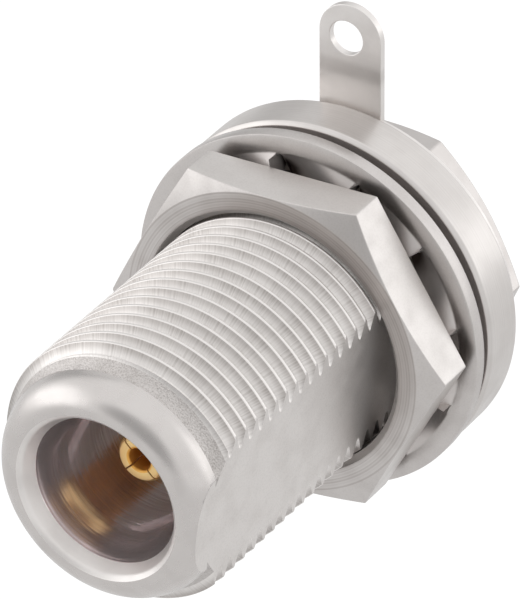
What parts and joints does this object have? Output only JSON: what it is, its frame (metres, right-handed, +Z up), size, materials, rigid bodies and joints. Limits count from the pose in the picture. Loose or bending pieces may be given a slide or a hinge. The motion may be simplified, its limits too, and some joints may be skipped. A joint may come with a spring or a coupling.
{
  "type": "n type bulkhead jack",
  "caption": "Coaxial bulkhead jack: threaded barrel with a D-flat, hex nut and toothed lock washer on it, panel ring, solder tag, hex flange and slotted socket contact.",
  "frame": {"origin": "on the connector's axis, on the front face of the panel ring, where the panel seats", "axes": "+Z up, along the solder tag; -Y along the axis towards the mating face; +X towards the D-flat"},
  "size_m": [0.0222, 0.0362, 0.0286],
  "materials": {
    "outer_body": "satin white-bronze plating over brass",
    "hex_nut": "satin white-bronze plating over brass, turned front face",
    "lock_washer": "bright plated spring steel",
    "panel_ring": "fine turned, white-bronze plating over brass",
    "ground_lug": "smooth stamped sheet, plated",
    "centre_contact": "gold plated",
    "front_insulator": "white PTFE",
    "rear_insulator": "white PTFE",
    "retaining_bush": "plated brass"
  },
  "bodies": {
    "body": {"outer_body": "outer_body", "panel_ring": "panel_ring", "ground_lug": "ground_lug", "centre_contact": "centre_contact", "front_insulator": "front_insulator", "rear_insulator": "rear_insulator", "retaining_bush": "retaining_bush"},
    "washer": {"lock_washer": "lock_washer"},
    "nut": {"hex_nut": "hex_nut"}
  },
  "joints": [
    {"name": "washer_slide", "type": "slide", "parent": "body", "child": "washer", "axis": [0, -1, 0], "range_m": [0, 0.018]},
    {"name": "nut_turn", "type": "hinge", "parent": "washer", "child": "nut", "pos_m": [0, 0, 0], "axis": [0, -1, 0], "range_deg": [0, 6120]}
  ],
  "couplings": [
    {"joint": "washer_slide", "follows": "nut_turn", "m_per_rad": 0.00016844}
  ]
}
